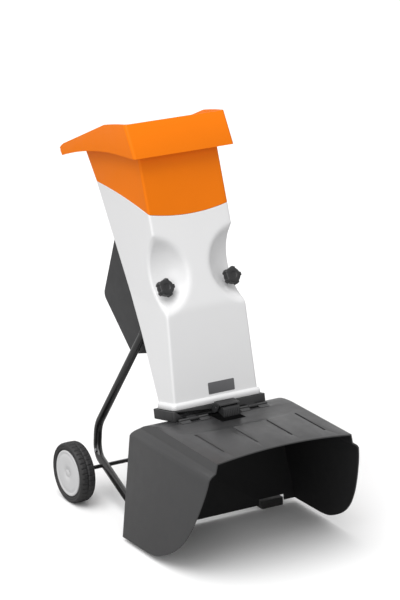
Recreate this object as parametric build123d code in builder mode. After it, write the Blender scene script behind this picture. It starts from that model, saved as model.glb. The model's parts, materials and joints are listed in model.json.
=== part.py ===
"""Electric garden chipper: leaning hopper, motor behind it, wide discharge hood and a two-wheel tube stand.

Millimetres, +Z up, -Y is the discharge side. The origin is on the ground, below the middle of the machine.
"""

import os
from math import cos, radians, sin, tan

from build123d import *

os.makedirs("parts", exist_ok=True)

# --- Overall sizes ---
overall_length = 995.0  # hood lip to the rear tip of the filling collar
rim_height = 1180.0  # top front corner of the filling collar
front_y = -overall_length / 2
rear_y = overall_length / 2

# --- Hopper ---
hopper_width = 266.0
hopper_wall = 3.0
rear_lean = 34.0  # lean of the upper rear face from the vertical
front_lean = 20.5  # lean of the upper front face
lower_front_lean = 12.0
lower_rear_lean = 31.0
foot_half_width = 144.0  # the hopper spreads to this half width at its seat
front_bend = (-72.0, 662.0)  # y, z where the front face changes its lean
rear_bend = (75.0, 565.0)  # y, z where the rear face changes its lean
flange_height = 20.0
flange_half_width = 149.0
flange_front = (-138.0, 384.0)  # y, z of the flange's lower front edge
seat_tilt = 12.4  # the seat between hopper and base rises towards the front
flange_depth = 101.0
scoop_centre = (140.0, -90.0, 783.0)  # a pair of egg-shaped scoops for the two knobs
scoop_radius = 121.0
scoop_half_width = 118.0
split_front = (-20.0, 919.0)  # y, z of the joint between hopper and funnel, past both faces
split_middle = (180.0, 946.0)
split_rear = (420.0, 952.0)
split_sag = 13.0

# --- Funnel and filling collar ---
collar_half_width = 167.0
collar_wall = 3.5
collar_front_bottom = (47.0, 1091.0)
collar_front_top = (103.0, rim_height)
collar_tip_height = 1019.0
collar_corner = 9.0

# --- Motor and cutting unit, on the axis square to the upper rear face ---
axis_along = 75.0  # distance of the motor axis up the rear face from its bend
motor_radius = 60.0
motor_length = 142.0
shaft_radius = 7.0
bearing_outer = 17.5
bearing_length = 11.0
ring_outer = 101.0
ring_wall = 3.5
ring_front = -46.0
disc_radius = 93.0
disc_thickness = 5.0
disc_place = -26.0
plate_front = -7.0
cover_half_width = 96.5
cover_wall = 3.0
cover_tip = (270.5, 855.0)
cover_apex = (366.0, 587.0)
cover_heel = (197.0, 448.0)
cover_toe = (42.0, 500.0)

# --- Knobs ---
knob_x = 112.0
knob_along = 70.0
knob_out = 175.0  # distance of the grip's middle in front of the rear face
knob_radius = 24.5
knob_lobe = 28.5
knob_thick = 23.0
bolt_radius = 4.0
post_radius = 8.0
post_front = -129.0

# --- Stand ---
wheel_radius = 92.0
wheel_outer_x = 294.0
tyre_width = 50.0
rim_radius = 73.0
cap_radius = 70.0
axle_radius = 6.0
axle_y = 245.0
leg_radius = 12.5
leg_wall = 1.8
leg_top = (110.0, 79.0, 575.0)  # past the rear face of the back plate, where the tube is cut
leg_knee = (145.0, 318.0, 195.0)
leg_heel = (153.0, 312.0, 106.0)
leg_toe = (206.0, -48.0, 32.0)
leg_bend_radius = 60.0
foot_inner_x = 174.0
foot_outer_x = 250.0
foot_front_y = -105.0
foot_rear_y = -25.0
foot_height = 24.0

# --- Neck ---
neck_half_width = 158.0
neck_front = 8.0  # how far the neck stands in front of the flange
neck_rear = 10.0
neck_height = 28.0
chute_half_width = 118.0
chute_front = 24.0
chute_rear = 76.0

# --- Discharge hood ---
hood_wall = 3.5
hood_top_x = 223.0
hood_side_top_z = 359.0
hood_crown_z = 374.0
hood_step = ((229.0, 332.0), (243.0, 323.0), (250.0, 314.0))
hood_flare = 0.155  # the side flaps spread by this share of their drop
hood_rear_bottom = (-95.0, 12.0)
hood_rear_top = (-60.0, 305.0)
groove_places = (-168.0, -57.0, 57.0, 168.0)
groove_middle_y = -366.0
groove_length = 156.0
groove_width = 7.0
groove_depth = 1.9
ring_mark = (74.0, -247.0)
ring_mark_radius = 23.0
hinge_y = -165.0
hinge_z = 362.0
hinge_pin_radius = 3.0
hinge_barrel_radius = 5.5

# --- Clearances ---
running = 0.05  # radial, shaft in bore
gap = 0.3  # between faces of pieces that move on each other
seat_gap = 1.0

half_width = hopper_width / 2
rear_normal = (0, cos(radians(rear_lean)), -sin(radians(rear_lean)))
seat_normal = (0, sin(radians(seat_tilt)), cos(radians(seat_tilt)))
seat = Plane(origin=(0, *flange_front), x_dir=(1, 0, 0), z_dir=seat_normal)


def rear_plane(along, out=0.0, x=0.0):
    """Plane on the leaning rear face: 'along' up the face from its bend, 'out' behind it."""
    return Plane(
        origin=(
            x,
            rear_bend[0] + along * sin(radians(rear_lean)) + out * rear_normal[1],
            rear_bend[1] + along * cos(radians(rear_lean)) + out * rear_normal[2],
        ),
        x_dir=(-1, 0, 0),
        z_dir=rear_normal,
    )


def side_plane(x):
    return Plane(origin=(x, 0, 0), x_dir=(0, 1, 0), z_dir=(1, 0, 0))


def front_face_y(z):
    """Front face of the hopper, seen from the side."""
    lean = front_lean if z > front_bend[1] else lower_front_lean
    return front_bend[0] + (z - front_bend[1]) * tan(radians(lean))


def rear_face_y(z):
    lean = rear_lean if z > rear_bend[1] else lower_rear_lean
    return rear_bend[0] + (z - rear_bend[1]) * tan(radians(lean))


def hopper_outline(inset, low, high):
    """Side outline of the leaning hopper between two heights, all walls moved in by 'inset'."""
    front_in = inset / cos(radians(front_lean))
    rear_in = inset / cos(radians(rear_lean))
    return [
        (front_face_y(low) + front_in, low),
        (front_bend[0] + front_in, front_bend[1]),
        (front_face_y(high) + front_in, high),
        (rear_face_y(high) - rear_in, high),
        (rear_bend[0] - rear_in, rear_bend[1]),
        (rear_face_y(low) - rear_in, low),
    ]


def seat_depth(r):
    """Point of the seat plane at distance r behind the flange's front edge: y, z."""
    tilt = radians(seat_tilt)
    return (flange_front[0] + r * cos(tilt), flange_front[1] - r * sin(tilt))


def save(part, label):
    part.label = label
    export_step(part, f"parts/{label}.step")


# --- Region above the joint between hopper and funnel ---
with BuildPart() as cap_zone:
    with BuildLine() as split_path:
        split_curve = ThreePointArc((0, *split_front), (0, *split_middle), (0, *split_rear))
    with BuildSketch(Plane(origin=split_curve @ 0, x_dir=(1, 0, 0), z_dir=split_curve % 0)):
        with BuildLine():
            low_arc = ThreePointArc((-half_width, 0), (0, split_sag), (half_width, 0))
            Polyline(low_arc @ 1, (half_width + 40, 0), (half_width + 40, -330))
            Polyline((half_width + 40, -330), (-half_width - 40, -330), (-half_width - 40, 0), low_arc @ 0)
        make_face()
    sweep(path=split_path.line)

# --- White lower hopper ---
def scoops(extra):
    """The two rounded hollows in the front corners, grown by 'extra'."""
    with BuildPart() as pair:
        for side in (-1, 1):
            centre = (side * scoop_centre[0], scoop_centre[1], scoop_centre[2])
            with BuildSketch(Plane(origin=centre, x_dir=(1, 0, 0), z_dir=(0, -1, 0))):
                Ellipse(scoop_half_width + extra, scoop_radius + extra)
                Rectangle(
                    2 * (scoop_half_width + extra), scoop_radius + extra,
                    align=(Align.CENTER, Align.MAX), mode=Mode.SUBTRACT,
                )
            revolve(axis=Axis(centre, (1, 0, 0)))
    return pair.part


hopper_low = flange_front[1] - 60
hopper_high = 1010.0
bolt_places = [rear_plane(knob_along, 0, side * knob_x) for side in (-1, 1)]

def lean_edges(shape):
    """Edges that run up the hopper's corners."""
    return shape.edges().filter_by(lambda e: abs((e % 0.5).Z) > 0.7)


def hopper_block(inset, high):
    """The hopper's outer form moved in by 'inset': straight above the front bend, spreading below it."""
    corner = 7 - inset
    with BuildPart() as block:
        with BuildSketch(side_plane(-half_width + inset)):
            Polygon(*hopper_outline(inset, hopper_low, high), align=None)
        extrude(amount=hopper_width - 2 * inset)
        fillet(lean_edges(block), radius=corner)
        with BuildPart(mode=Mode.PRIVATE) as foot_form:
            for z, half in ((front_bend[1], half_width), (hopper_low, foot_half_width)):
                front = front_face_y(z) + inset / cos(radians(front_lean))
                rear = rear_face_y(z) - inset / cos(radians(rear_lean))
                with BuildSketch(Plane.XY.offset(z)):
                    with Locations((0, (front + rear) / 2)):
                        Rectangle(2 * (half - inset), rear - front)
            loft(ruled=True)
            fillet(lean_edges(foot_form), radius=corner)
        add(foot_form.part)
    return block.part


with BuildPart() as lower_hopper:
    add(hopper_block(0, hopper_high))
    with BuildSketch(seat):
        with Locations((0, flange_depth / 2)):
            RectangleRounded(2 * flange_half_width, flange_depth, 12)
    extrude(amount=flange_height - 6)
    with BuildSketch(seat.offset(flange_height - 6)):
        with Locations((0, flange_depth / 2)):
            RectangleRounded(2 * flange_half_width, flange_depth, 12)
    extrude(amount=6, taper=40)
    # everything below the seat goes
    with BuildSketch(seat):
        Rectangle(600, 900)
    extrude(amount=-300, mode=Mode.SUBTRACT)
    add(scoops(0), mode=Mode.SUBTRACT)
    # hollow, open above, below and at the back
    with BuildPart(mode=Mode.PRIVATE) as hollow:
        add(hopper_block(hopper_wall, hopper_high + 50))
        add(scoops(hopper_wall), mode=Mode.SUBTRACT)
    add(hollow.part, mode=Mode.SUBTRACT)
    with BuildSketch(side_plane(-half_width + hopper_wall)):
        back_top = rear_face_y(cover_tip[1])
        Polygon(
            (rear_face_y(hopper_low) - 9, hopper_low), (rear_bend[0] - 9, rear_bend[1]),
            (back_top - 9, cover_tip[1]), (back_top + 60, cover_tip[1]),
            (rear_bend[0] + 60, rear_bend[1]), (rear_face_y(hopper_low) + 60, hopper_low),
            align=None,
        )
    extrude(amount=hopper_width - 2 * hopper_wall, mode=Mode.SUBTRACT)
    # seats for the two knobs
    for place in bolt_places:
        with BuildSketch(place.offset(-(knob_out - knob_thick / 2 - 5))):
            Circle(15)
        extrude(amount=14)
        with BuildSketch(place.offset(-knob_out - 40)):
            Circle(bolt_radius + 0.6)
        extrude(amount=90, mode=Mode.SUBTRACT)
    add(cap_zone.part, mode=Mode.SUBTRACT)
save(lower_hopper.part, "lower_hopper")

# --- Orange funnel with its filling collar, one moulding ---
throat_front_z = 1100.0
throat_rear_z = 1033.0
throat_front = (front_face_y(throat_front_z), throat_front_z)
throat_rear = (403.0, throat_rear_z)
mouth_front = (throat_front[0] + 30, throat_front_z + 164)
mouth_rear = (throat_rear[0] + 178, throat_rear_z - 24)
mouth_half_width = 193.0
neck_line = 949.0  # height where the funnel's rear wall leans further back
mouth_lift = 1.2  # raises the mouth's inside by this share of its wall, so that its floor keeps thick
collar_top = [collar_front_top, (174, 1166), (262, 1142), (366, 1101), (449, 1055)]
collar_low = [(487, 999), (343, 1046), (262, 1065), (183, 1078), (98, 1086)]


def collar_outline(inset, top_drop, bottom_drop):
    """Side outline of the collar skirt."""
    with BuildSketch() as outline:
        with BuildLine():
            front_low = (collar_front_bottom[0] + inset, collar_front_bottom[1] - bottom_drop)
            front_high = (collar_front_top[0] + inset, collar_front_top[1] - top_drop)
            top = [(y - inset * 0.5, z - top_drop) for y, z in collar_top[1:]]
            tip = (rear_y - inset, collar_tip_height + 3 - top_drop)
            low = [(y, z - bottom_drop) for y, z in collar_low[1:]]
            tip_low = (collar_low[0][0] - inset, collar_low[0][1] - bottom_drop)
            Line(front_low, front_high)
            Spline(front_high, *top, tip)
            Line(tip, (rear_y - inset, collar_tip_height - 9 - bottom_drop))
            Line((rear_y - inset, collar_tip_height - 9 - bottom_drop), tip_low)
            Spline(tip_low, *low, front_low)
        make_face()
    return outline.sketch


def mouth(inset):
    """Feeding mouth: from the straight throat out to the rim."""
    with BuildPart() as shape:
        ends = (
            (throat_front, throat_rear, half_width - inset),
            (mouth_front, mouth_rear, mouth_half_width - inset),
        )
        for low, high, half in ends:
            run = Vector(0, high[0] - low[0], high[1] - low[1])
            middle = (0, (low[0] + high[0]) / 2, (low[1] + high[1]) / 2 + mouth_lift * inset)
            across = Plane(origin=middle, x_dir=(1, 0, 0), z_dir=(0, -run.Z, run.Y))
            with BuildSketch(across):
                RectangleRounded(2 * half, run.length - 2 * inset, 14)
        loft(ruled=True)
    return shape.part


def funnel_wedge(inset):
    """Straight lower part of the funnel."""
    front_in = inset / cos(radians(front_lean))
    with BuildPart() as shape:
        with BuildSketch(side_plane(-half_width + inset)):
            over = 3 * inset  # the inside runs on past the throat
            rise = (throat_rear_z - neck_line) / (throat_rear[0] - rear_face_y(neck_line))
            Polygon(
                (front_face_y(880) + front_in, 880),
                (front_face_y(throat_front_z + over) + front_in, throat_front_z + over),
                (throat_rear[0] + over / rise - 1.4 * inset, throat_rear_z + over),
                (rear_face_y(neck_line) - 1.3 * inset, neck_line),
                (rear_face_y(880) - 1.3 * inset, 880), align=None,
            )
        extrude(amount=hopper_width - 2 * inset)
        fillet(shape.edges().filter_by(lambda e: abs((e % 0.5).Z) > 0.5), radius=max(7 - inset, 3))
    return shape.part


with BuildPart() as funnel:
    with BuildSketch(side_plane(-collar_half_width)):
        add(collar_outline(0, 0, 0))
    extrude(amount=2 * collar_half_width)
    corner_edges = funnel.edges().filter_by(
        lambda e: e.geom_type == GeomType.LINE and abs((e % 0.5).X) < 0.1 and (e % 0.5).Z ** 2 > 0.1
    )
    fillet(corner_edges, radius=collar_corner)
    with BuildPart(mode=Mode.PRIVATE) as skirt_hollow:
        with BuildSketch(side_plane(-collar_half_width + collar_wall)):
            add(collar_outline(collar_wall, collar_wall + 1, 120))
        extrude(amount=2 * (collar_half_width - collar_wall))
        add(mouth(-collar_wall + 1), mode=Mode.SUBTRACT)
    add(skirt_hollow.part, mode=Mode.SUBTRACT)
    with BuildPart(mode=Mode.PRIVATE) as mouth_body:
        with BuildSketch(side_plane(-collar_half_width + 1)):
            add(collar_outline(1, 1, 120))
        extrude(amount=2 * collar_half_width - 2)
        add(mouth(-collar_wall + 1), mode=Mode.INTERSECT)
    add(mouth_body.part)
    with BuildPart(mode=Mode.PRIVATE) as throat_shell:
        add(funnel_wedge(0))
        add(cap_zone.part, mode=Mode.INTERSECT)
    add(throat_shell.part)
    add(mouth(hopper_wall), mode=Mode.SUBTRACT)
    add(funnel_wedge(hopper_wall), mode=Mode.SUBTRACT)
save(funnel.part, "funnel")

# --- Rubber splash guard in the throat: a ring of lips round the feed opening ---
with BuildPart() as splash_guard:
    guard_run = Vector(0, throat_rear[0] - throat_front[0], throat_rear_z - throat_front_z)
    guard_middle = (0, (throat_front[0] + throat_rear[0]) / 2 - 10, (throat_front_z + throat_rear_z) / 2)
    guard_plane = Plane(origin=guard_middle, x_dir=(1, 0, 0), z_dir=(0, -guard_run.Z, guard_run.Y))
    with BuildSketch(guard_plane.offset(-40)):
        Rectangle(hopper_width, guard_run.length)
        Ellipse(62, 74, mode=Mode.SUBTRACT)
        for turn in range(0, 360, 30):
            with Locations(Rot(0, 0, turn)):
                with Locations((80, 0)):
                    Rectangle(50, 2.2, mode=Mode.SUBTRACT)
    extrude(amount=3)
    add(funnel_wedge(hopper_wall + 0.5), mode=Mode.INTERSECT)
save(splash_guard.part, "splash_guard")

# --- Plain plate on the hopper front ---
with BuildPart() as label_plate:
    plate_z = 425.0
    plate_at = Plane(
        origin=(20, front_face_y(plate_z), plate_z), x_dir=(1, 0, 0),
        z_dir=(0, -cos(radians(lower_front_lean)), sin(radians(lower_front_lean))),
    )
    with BuildSketch(plate_at.offset(0.02)):
        RectangleRounded(88, 34, 3)
    extrude(amount=0.8)
save(label_plate.part, "label_plate")

# --- Screws that hold the funnel to the hopper, at its back ---
with BuildPart() as funnel_screws:
    funnel_rear = Vector(0, throat_rear[0] - rear_face_y(neck_line), throat_rear_z - neck_line).normalized()
    funnel_rear_out = Vector(0, funnel_rear.Z, -funnel_rear.Y)
    for x in (-85, 85):
        screw_at = Vector(x, rear_face_y(neck_line), neck_line) + funnel_rear * 25
        face = Plane(origin=screw_at, x_dir=(1, 0, 0), z_dir=funnel_rear_out)
        with BuildSketch(face.offset(0.02)):
            Circle(5)
            RegularPolygon(2.4, 6, mode=Mode.SUBTRACT)
        extrude(amount=2.2)
        with BuildSketch(face.offset(0.02)):
            Circle(5)
        extrude(amount=0.7)
save(funnel_screws.part, "funnel_screws")

# --- Back plate: closes the hopper's back and carries the motor and the legs ---
def back_outline(front, back, top):
    """Bent plate behind the hopper between two distances from its rear face."""
    low_z = seat_depth(flange_depth - 8)[1] + 3
    return [
        (rear_face_y(low_z) + front, low_z), (rear_bend[0] + front, rear_bend[1]),
        (rear_face_y(top) + front, top), (rear_face_y(top) + back, top),
        (rear_bend[0] + back, rear_bend[1]), (rear_face_y(low_z) + back, low_z),
    ]


plate_half_width = half_width - hopper_wall - 1.5
back_gap = 2.0
with BuildPart() as back_plate:
    with BuildSketch(side_plane(-plate_half_width)):
        Polygon(*back_outline(plate_front / cos(radians(rear_lean)), -back_gap, cover_tip[1] - 4), align=None)
    extrude(amount=2 * plate_half_width)
    with BuildSketch(rear_plane(axis_along, plate_front - 5)):
        Circle(bearing_outer)
    extrude(amount=40, mode=Mode.SUBTRACT)
save(back_plate.part, "back_plate")
back_depth = -back_gap * cos(radians(rear_lean))  # rear face of the plate

# --- Motor cover ---
def cover_outline(inset):
    with BuildSketch() as outline:
        with BuildLine():
            back = back_depth / cos(radians(rear_lean)) + 0.4
            top_z = cover_tip[1] - inset * 2.6
            toe_z = cover_toe[1] + inset * 1.2
            top = (rear_face_y(top_z) + back, top_z)
            bend = (rear_bend[0] + back, rear_bend[1])
            toe = (rear_face_y(toe_z) + back, toe_z)
            heel = (cover_heel[0] - inset * 0.4, cover_heel[1] + inset * 1.15)
            apex = (cover_apex[0] - inset * 1.2, cover_apex[1] + inset * 0.1)
            FilletPolyline(top, apex, heel, toe, radius=(26 - inset, 12 - inset))
            Polyline(toe, bend, top)
        make_face()
    return outline.sketch


with BuildPart() as motor_cover:
    with BuildSketch(side_plane(-cover_half_width)):
        add(cover_outline(0))
    extrude(amount=2 * cover_half_width)
    side_faces = motor_cover.faces().filter_by(Axis.X)
    rims = side_faces.edges().filter_by(lambda e: (e @ 0.5).Y > rear_face_y((e @ 0.5).Z) + 8)
    fillet(rims, radius=5)
    with BuildSketch(side_plane(-cover_half_width + cover_wall)):
        add(cover_outline(cover_wall))
        back = back_depth / cos(radians(rear_lean)) + 0.4
        Polygon(
            (rear_face_y(820) + back - 6, 820), (rear_bend[0] + back - 6, rear_bend[1]),
            (rear_face_y(520) + back - 6, 520), (rear_face_y(520) + back + 12, 520),
            (rear_bend[0] + back + 12, rear_bend[1]), (rear_face_y(820) + back + 12, 820), align=None,
        )
    extrude(amount=2 * (cover_half_width - cover_wall), mode=Mode.SUBTRACT)
    # cooling slots in the underside
    for row in range(7):
        with BuildSketch(Plane.XY.offset(400)):
            with Locations((0, 212 + row * 14)):
                SlotOverall(120, 6)
        extrude(amount=135, mode=Mode.SUBTRACT)
save(motor_cover.part, "motor_cover")

# --- Bearings, motor and rotor ---
bearing_seat = plate_front - 5  # front face of the front bearing
motor_start = back_depth + 3
motor_end = motor_start + motor_length

with BuildPart() as motor_housing:
    with BuildSketch(rear_plane(axis_along, motor_start)):
        Circle(motor_radius)
    extrude(amount=motor_length)
    with BuildSketch(rear_plane(axis_along, motor_start + 4)):
        Circle(motor_radius - 9)
    extrude(amount=motor_length - 10, mode=Mode.SUBTRACT)
    with BuildSketch(rear_plane(axis_along, motor_start - 1)):
        Circle(bearing_outer + 1)
    extrude(amount=motor_length + 2, mode=Mode.SUBTRACT)
    # cooling ribs along the can
    with BuildSketch(rear_plane(axis_along, motor_start + 14)):
        with PolarLocations(motor_radius + 1.2, 28):
            Rectangle(4, 2.4)
    extrude(amount=motor_length - 30)
save(motor_housing.part, "motor_housing")

with BuildPart() as motor_windings:
    with BuildSketch(rear_plane(axis_along, motor_start + 24)):
        Circle(motor_radius - 9)
        Circle(36, mode=Mode.SUBTRACT)
    extrude(amount=motor_length - 50)
save(motor_windings.part, "motor_windings")

for name, start in (("front_bearing", bearing_seat), ("rear_bearing", motor_end - bearing_length)):
    with BuildPart() as bearing:
        with BuildSketch(rear_plane(axis_along, start)):
            Circle(bearing_outer)
            Circle(shaft_radius + running, mode=Mode.SUBTRACT)
        extrude(amount=bearing_length)
    save(bearing.part, name)

with BuildPart() as bearing_seat_ring:
    with BuildSketch(rear_plane(axis_along, motor_end - bearing_length)):
        Circle(bearing_outer + 1)
        Circle(bearing_outer, mode=Mode.SUBTRACT)
    extrude(amount=bearing_length)
save(bearing_seat_ring.part, "bearing_seat_ring")

fan_start = motor_end + 3
with BuildPart() as rotor_shaft:
    with BuildSketch(rear_plane(axis_along, disc_place - disc_thickness - 1)):
        Circle(shaft_radius)
    extrude(amount=fan_start + 12 - disc_place + disc_thickness)
    with BuildSketch(rear_plane(axis_along, motor_start + 27)):
        Circle(33)
    extrude(amount=motor_length - 56)
save(rotor_shaft.part, "rotor_shaft")

with BuildPart() as cooling_fan:
    with BuildSketch(rear_plane(axis_along, fan_start)):
        Circle(16)
        Circle(shaft_radius, mode=Mode.SUBTRACT)
    extrude(amount=10)
    with BuildSketch(rear_plane(axis_along, fan_start)):
        with PolarLocations(31, 7):
            Rectangle(36, 3, rotation=18)
        Circle(15, mode=Mode.SUBTRACT)
    extrude(amount=9)
save(cooling_fan.part, "cooling_fan")

with BuildPart() as blade_disc:
    with BuildSketch(rear_plane(axis_along, disc_place)):
        Circle(disc_radius)
        Circle(shaft_radius, mode=Mode.SUBTRACT)
    extrude(amount=-disc_thickness)
    with BuildSketch(rear_plane(axis_along, disc_place)):
        Circle(16)
        Circle(shaft_radius, mode=Mode.SUBTRACT)
    extrude(amount=bearing_seat - disc_place - 1)
    with BuildSketch(rear_plane(axis_along, disc_place)):
        with PolarLocations(56, 2):
            Rectangle(62, 11)
    extrude(amount=-disc_thickness, mode=Mode.SUBTRACT)
save(blade_disc.part, "blade_disc")

with BuildPart() as cutter_blades:
    with BuildSketch(rear_plane(axis_along, disc_place - disc_thickness)):
        with PolarLocations(56, 2, start_angle=0):
            with Locations((0, 17)):
                Rectangle(66, 24)
    extrude(amount=-4)
    with BuildSketch(rear_plane(axis_along, disc_place - disc_thickness - 4)):
        with PolarLocations(56, 2, start_angle=0):
            with Locations((-18, 19), (18, 19)):
                Circle(4.5)
    extrude(amount=-3)
save(cutter_blades.part, "cutter_blades")

with BuildPart() as disc_bolt:
    with BuildSketch(rear_plane(axis_along, disc_place - disc_thickness - 1)):
        Circle(14)
    extrude(amount=-2.5)
    with BuildSketch(rear_plane(axis_along, disc_place - disc_thickness - 3.5)):
        RegularPolygon(9, 6)
    extrude(amount=-5.5)
    with BuildSketch(rear_plane(axis_along, disc_place - disc_thickness)):
        Circle(14)
        Circle(shaft_radius, mode=Mode.SUBTRACT)
    extrude(amount=-1)
save(disc_bolt.part, "disc_bolt")

# --- Cutting chamber: ring round the disc with a feed opening above and an outlet below ---
with BuildPart() as cutting_chamber:
    with BuildSketch(rear_plane(axis_along, ring_front)):
        Circle(ring_outer)
        Circle(ring_outer - ring_wall, mode=Mode.SUBTRACT)
    extrude(amount=plate_front - ring_front)
    with BuildSketch(rear_plane(axis_along, ring_front)):
        Circle(ring_outer - ring_wall)
        with Locations((0, 34)):
            Rectangle(150, 76, mode=Mode.SUBTRACT)
    extrude(amount=3)
    with BuildSketch(rear_plane(axis_along, ring_front + 3)):
        with Locations((0, -ring_outer)):
            Rectangle(130, 60)
    extrude(amount=plate_front - ring_front - 3, mode=Mode.SUBTRACT)
save(cutting_chamber.part, "cutting_chamber")

with BuildPart() as counter_blade:
    with BuildSketch(rear_plane(axis_along, ring_front - 0.02)):
        with Locations((0, -16)):
            Rectangle(120, 22)
    extrude(amount=-6)
save(counter_blade.part, "counter_blade")

# --- Posts that the knobs screw into ---
with BuildPart() as clamp_posts:
    for place in bolt_places:
        with BuildSketch(place.offset(post_front)):
            Circle(post_radius)
        extrude(amount=plate_front - post_front)
        with BuildSketch(place.offset(plate_front - 14)):
            Circle(post_radius + 3)
        extrude(amount=14)
        with BuildSketch(place.offset(post_front - 1)):
            Circle(bolt_radius + running)
        extrude(amount=46, mode=Mode.SUBTRACT)
save(clamp_posts.part, "clamp_posts")

# --- Star knobs with their bolts ---
knob_back = -knob_out + knob_thick / 2
for side, place, name in ((-1, bolt_places[0], "left"), (1, bolt_places[1], "right")):
    with BuildPart() as knob:
        with BuildSketch(place.offset(knob_back)):
            Circle(knob_radius)
            for turn in range(5):
                with Locations(Rot(0, 0, 90 + 72 * turn)):
                    with Locations((knob_lobe - 7, 0)):
                        Trapezoid(15, 12, 68, rotation=-90)
        extrude(amount=-knob_thick)
        top_face = knob.faces().sort_by(Axis((0, 0, 0), rear_normal))[0]
        fillet(top_face.edges(), radius=2.2)
        with BuildSketch(place.offset(-knob_out - knob_thick / 2)):
            Circle(12)
        extrude(amount=2, mode=Mode.SUBTRACT)
        with BuildSketch(place.offset(knob_back)):
            Circle(11)
        extrude(amount=5 - gap)
    save(knob.part, f"{name}_knob")
    with BuildPart() as bolt:
        with BuildSketch(place.offset(knob_back + 5 - gap)):
            Circle(bolt_radius)
        extrude(amount=post_front + 34 - knob_back - 5)
    save(bolt.part, f"{name}_knob_bolt")

# --- Neck: the base's collar under the hopper, open through the middle ---
neck_depth = flange_depth + neck_front + neck_rear
with BuildPart() as neck:
    with BuildSketch(seat.offset(-seat_gap)):
        with Locations((0, flange_depth / 2 + (neck_rear - neck_front) / 2)):
            RectangleRounded(2 * neck_half_width, neck_depth, 10)
    extrude(amount=-neck_height)
    with BuildSketch(seat.offset(-seat_gap - 6)):
        with Locations((0, flange_depth / 2 + (neck_rear - neck_front) / 2)):
            RectangleRounded(2 * neck_half_width - 8, neck_depth - 8, 7)
    extrude(amount=-(neck_height - 14), mode=Mode.SUBTRACT)
    with BuildSketch(seat.offset(-seat_gap - 6)):
        with Locations((0, flange_depth / 2 + (neck_rear - neck_front) / 2)):
            RectangleRounded(2 * neck_half_width - 40, neck_depth - 16, 7)
    extrude(amount=-(neck_height - 14))
    with BuildSketch(seat):
        with Locations((0, (chute_front + chute_rear) / 2)):
            RectangleRounded(2 * chute_half_width, chute_rear - chute_front, 8)
    extrude(amount=-60, mode=Mode.SUBTRACT)
    # barrels of the hood hinge
    for side in (-1, 1):
        with BuildSketch(side_plane(side * 100 - 15)):
            with Locations((hinge_y, hinge_z)):
                Circle(hinge_barrel_radius)
            Polygon(
                (hinge_y, hinge_z - hinge_barrel_radius + 1), (hinge_y, hinge_z + hinge_barrel_radius - 1),
                (hinge_y + 18, hinge_z + 4), (hinge_y + 18, hinge_z - 4), align=None,
            )
            with Locations((hinge_y, hinge_z)):
                Circle(hinge_pin_radius + running, mode=Mode.SUBTRACT)
        extrude(amount=30)
save(neck.part, "neck")

# --- Tube legs, axle and feet ---
back_touch = -back_gap + 0.02  # just clear of the back plate
bracket_front = back_touch + 4.5
bracket_inner = cover_half_width + 1.2
bracket_outer = 128.0
for side, name in ((-1, "left_leg"), (1, "right_leg")):
    route = [(side * x, y, z) for x, y, z in (leg_top, leg_knee, leg_heel, leg_toe)]
    with BuildPart() as leg:
        with BuildLine() as leg_path:
            FilletPolyline(*route, radius=(leg_bend_radius + 20, leg_bend_radius - 8))
        start = leg_path.line @ 0
        with BuildSketch(Plane(origin=start, z_dir=leg_path.line % 0)):
            Circle(leg_radius)
            Circle(leg_radius - leg_wall, mode=Mode.SUBTRACT)
        sweep(path=leg_path.line)
        with BuildSketch(Plane(origin=(-300, axle_y, wheel_radius), z_dir=(1, 0, 0))):
            Circle(axle_radius + running)
        extrude(amount=600, mode=Mode.SUBTRACT)
        # cut flush with the bracket's plate
        with BuildSketch(side_plane(-300)):
            Polygon(*back_outline(-200, bracket_front, 700), align=None)
        extrude(amount=600, mode=Mode.SUBTRACT)
    save(leg.part, name)

leg_bracket_radius = leg_radius + 1.3
with BuildPart() as leg_brackets:
    for side in (-1, 1):
        top = Vector(side * leg_top[0], leg_top[1], leg_top[2])
        knee = Vector(side * leg_knee[0], leg_knee[1], leg_knee[2])
        along = (top - knee).normalized()
        with BuildPart(mode=Mode.PRIVATE) as socket:
            with BuildSketch(Plane(origin=top, x_dir=(1, 0, 0), z_dir=-along)):
                Circle(leg_bracket_radius)
            extrude(amount=36)
            with BuildSketch(side_plane(-300)):
                Polygon(*back_outline(-200, bracket_front - 0.5, 700), align=None)
            extrude(amount=600, mode=Mode.SUBTRACT)
        add(socket.part)
        plate_x = side * (bracket_inner + bracket_outer) / 2
        with BuildSketch(side_plane(plate_x - (bracket_outer - bracket_inner) / 2)):
            Polygon(*back_outline(back_touch, bracket_front, rear_bend[1] + 34), align=None)
            with Locations((rear_bend[0], rear_bend[1] - 148)):
                Rectangle(400, 240, mode=Mode.SUBTRACT)
        extrude(amount=bracket_outer - bracket_inner)
        with BuildPart(mode=Mode.PRIVATE) as tube_room:
            with BuildSketch(Plane(origin=top, x_dir=(1, 0, 0), z_dir=-along)):
                Circle(leg_radius + 0.02)
            extrude(amount=60)
            with BuildSketch(side_plane(-300)):
                Polygon(*back_outline(-200, bracket_front, 700), align=None)
            extrude(amount=600, mode=Mode.SUBTRACT)
        add(tube_room.part, mode=Mode.SUBTRACT)
save(leg_brackets.part, "leg_brackets")

axle_half = wheel_outer_x - 4.8
with BuildPart() as wheel_axle:
    with BuildSketch(Plane(origin=(-axle_half, axle_y, wheel_radius), z_dir=(1, 0, 0))):
        Circle(axle_radius)
    extrude(amount=2 * axle_half)
save(wheel_axle.part, "wheel_axle")

hub_half = 16.0
wheel_middle = wheel_outer_x - tyre_width / 2
with BuildPart() as axle_clips:
    for side in (-1, 1):
        for place, thick in ((wheel_middle + hub_half + 2.2, 1.5), (wheel_middle - hub_half - 7.6, 5.0)):
            with BuildSketch(Plane(origin=(side * place, axle_y, wheel_radius), z_dir=(side, 0, 0))):
                Circle(9.5)
                Circle(axle_radius + 0.01, mode=Mode.SUBTRACT)
            extrude(amount=thick)
save(axle_clips.part, "axle_clips")

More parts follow.
